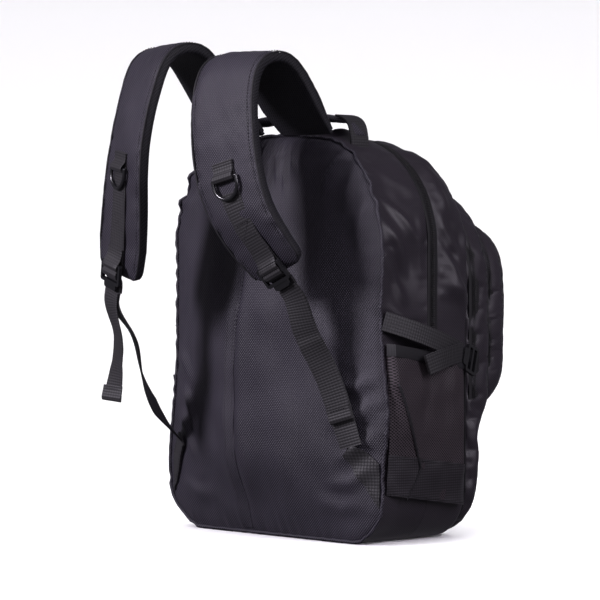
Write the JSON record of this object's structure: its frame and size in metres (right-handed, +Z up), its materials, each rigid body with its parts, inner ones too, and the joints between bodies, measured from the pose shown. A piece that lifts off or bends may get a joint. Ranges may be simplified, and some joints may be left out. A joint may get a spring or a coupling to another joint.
{
  "type": "school backpack",
  "caption": "Soft black school backpack with a zipped main compartment, front pockets, mesh side pockets and padded shoulder straps that end in ladder locks",
  "frame": {"origin": "on the floor, in the middle of the seam plane where the back panel meets the sides", "axes": "+Z up, X across the back, +Y from the wearer's back towards the front pockets"},
  "size_m": [0.362, 0.3648, 0.5012],
  "materials": {
    "back_twill": "matte",
    "strap_twill": "matte",
    "shell_fabric": "satin",
    "base_fabric": "satin",
    "pocket_mesh": "matte",
    "binding": "matte",
    "webbing": "matte",
    "zip_tape": "matte",
    "buckle_plastic": "satin",
    "ring_plastic": "satin",
    "zip_metal": "satin"
  },
  "bodies": {
    "pack": {"back_panel": "back_twill", "base_panel": "base_fabric", "front_compartment_lower": "shell_fabric", "front_fold": "shell_fabric", "front_pocket_lower": "shell_fabric", "left_anchor_tab": "webbing", "left_compression_lock": "buckle_plastic", "left_compression_loop": "webbing", "left_compression_strap": "webbing", "left_handle_tab": "webbing", "left_lower_gusset": "base_fabric", "left_lower_webbing": "webbing", "left_pocket_band": "shell_fabric", "left_pocket_hem": "binding", "left_pocket_mesh": "pocket_mesh", "left_side_panel": "shell_fabric", "left_webbing_tail": "webbing", "lower_divider": "base_fabric", "main_zip_rear_half": "zip_tape", "right_anchor_tab": "webbing", "right_compression_lock": "buckle_plastic", "right_compression_loop": "webbing", "right_compression_strap": "webbing", "right_handle_tab": "webbing", "right_lower_gusset": "base_fabric", "right_lower_webbing": "webbing", "right_pocket_band": "shell_fabric", "right_pocket_hem": "binding", "right_pocket_mesh": "pocket_mesh", "right_side_panel": "shell_fabric", "right_webbing_tail": "webbing", "top_panel": "shell_fabric"},
    "main_front": {"front_gusset": "shell_fabric", "upper_divider": "shell_fabric", "main_zip_front_half": "zip_tape", "front_compartment_upper": "shell_fabric", "front_pocket_upper": "shell_fabric", "front_zip_rear_half": "zip_tape", "front_zip_front_half": "zip_tape", "pocket_zip_rear_half": "zip_tape", "pocket_zip_front_half": "zip_tape"},
    "handle": {"grab_handle": "strap_twill"},
    "right_strap": {"right_strap_pad": "strap_twill", "right_strap_webbing": "webbing", "right_ring_loop": "webbing", "right_lock_loop": "webbing"},
    "right_ring_body": {"right_ring": "ring_plastic"},
    "right_lock_body": {"right_lock": "buckle_plastic"},
    "left_strap": {"left_strap_pad": "strap_twill", "left_strap_webbing": "webbing", "left_ring_loop": "webbing", "left_lock_loop": "webbing"},
    "left_ring_body": {"left_ring": "ring_plastic"},
    "left_lock_body": {"left_lock": "buckle_plastic"},
    "main_slider_body": {"main_slider": "zip_metal"},
    "main_pull_body": {"main_pull": "zip_metal"},
    "front_slider_body": {"front_slider": "zip_metal"},
    "front_pull_body": {"front_pull": "zip_metal"},
    "pocket_slider_body": {"pocket_slider": "zip_metal"},
    "pocket_pull_body": {"pocket_pull": "zip_metal"}
  },
  "joints": [
    {"name": "main_open", "type": "hinge", "parent": "pack", "child": "main_front", "pos_m": [0, 0.0728, 0.228], "axis": [-1, 0, 0], "range_deg": [0, 25], "deforming": ["front_fold"]},
    {"name": "handle_flop", "type": "hinge", "parent": "pack", "child": "handle", "pos_m": [0, 0.024, 0.411], "axis": [1, 0, 0], "range_deg": [-25, 25]},
    {"name": "right_strap_swing", "type": "hinge", "parent": "pack", "child": "right_strap", "pos_m": [0.054, -0.006, 0.41], "axis": [1, 0, 0], "range_deg": [-10, 14], "deforming": ["right_lower_webbing", "right_webbing_tail"]},
    {"name": "right_ring_flip", "type": "hinge", "parent": "right_strap", "child": "right_ring_body", "pos_m": [0.07126, -0.13091, 0.3607], "axis": [-0.9654, -0.1349, -0.2231], "range_deg": [0, 110]},
    {"name": "right_lock_tilt", "type": "hinge", "parent": "right_strap", "child": "right_lock_body", "pos_m": [0.0971, -0.09668, 0.27543], "axis": [-0.9309, -0.0124, -0.365], "range_deg": [-12, 25], "deforming": ["right_lower_webbing", "right_webbing_tail"]},
    {"name": "left_strap_swing", "type": "hinge", "parent": "pack", "child": "left_strap", "pos_m": [-0.054, -0.006, 0.41], "axis": [1, 0, 0], "range_deg": [-10, 14], "deforming": ["left_lower_webbing", "left_webbing_tail"]},
    {"name": "left_ring_flip", "type": "hinge", "parent": "left_strap", "child": "left_ring_body", "pos_m": [-0.07017, -0.15027, 0.37473], "axis": [-0.9575, 0.2316, 0.172], "range_deg": [0, 110]},
    {"name": "left_lock_tilt", "type": "hinge", "parent": "left_strap", "child": "left_lock_body", "pos_m": [-0.09081, -0.14216, 0.27868], "axis": [-0.9558, 0.0637, 0.287], "range_deg": [-12, 25], "deforming": ["left_lower_webbing", "left_webbing_tail"]},
    {"name": "main_slider_slide", "type": "slide", "parent": "pack", "child": "main_slider_body", "axis": [0, 0, 1], "range_m": [-0.022, 0.032]},
    {"name": "main_pull_swing", "type": "hinge", "parent": "main_slider_body", "child": "main_pull_body", "pos_m": [-0.1618, 0.072, 0.262], "axis": [0, 1, 0], "range_deg": [0, 150]},
    {"name": "front_slider_slide", "type": "slide", "parent": "main_front", "child": "front_slider_body", "axis": [1, 0, 0], "range_m": [-0.005, 0.06]},
    {"name": "front_pull_swing", "type": "hinge", "parent": "front_slider_body", "child": "front_pull_body", "pos_m": [-0.028, 0.138, 0.3682], "axis": [0, -1, 0], "range_deg": [0, 150]},
    {"name": "pocket_slider_slide", "type": "slide", "parent": "main_front", "child": "pocket_slider_body", "axis": [1, 0, 0], "range_m": [-0.035, 0.085]},
    {"name": "pocket_pull_swing", "type": "hinge", "parent": "pocket_slider_body", "child": "pocket_pull_body", "pos_m": [-0.028, 0.176, 0.3282], "axis": [0, -1, 0], "range_deg": [0, 150]}
  ]
}
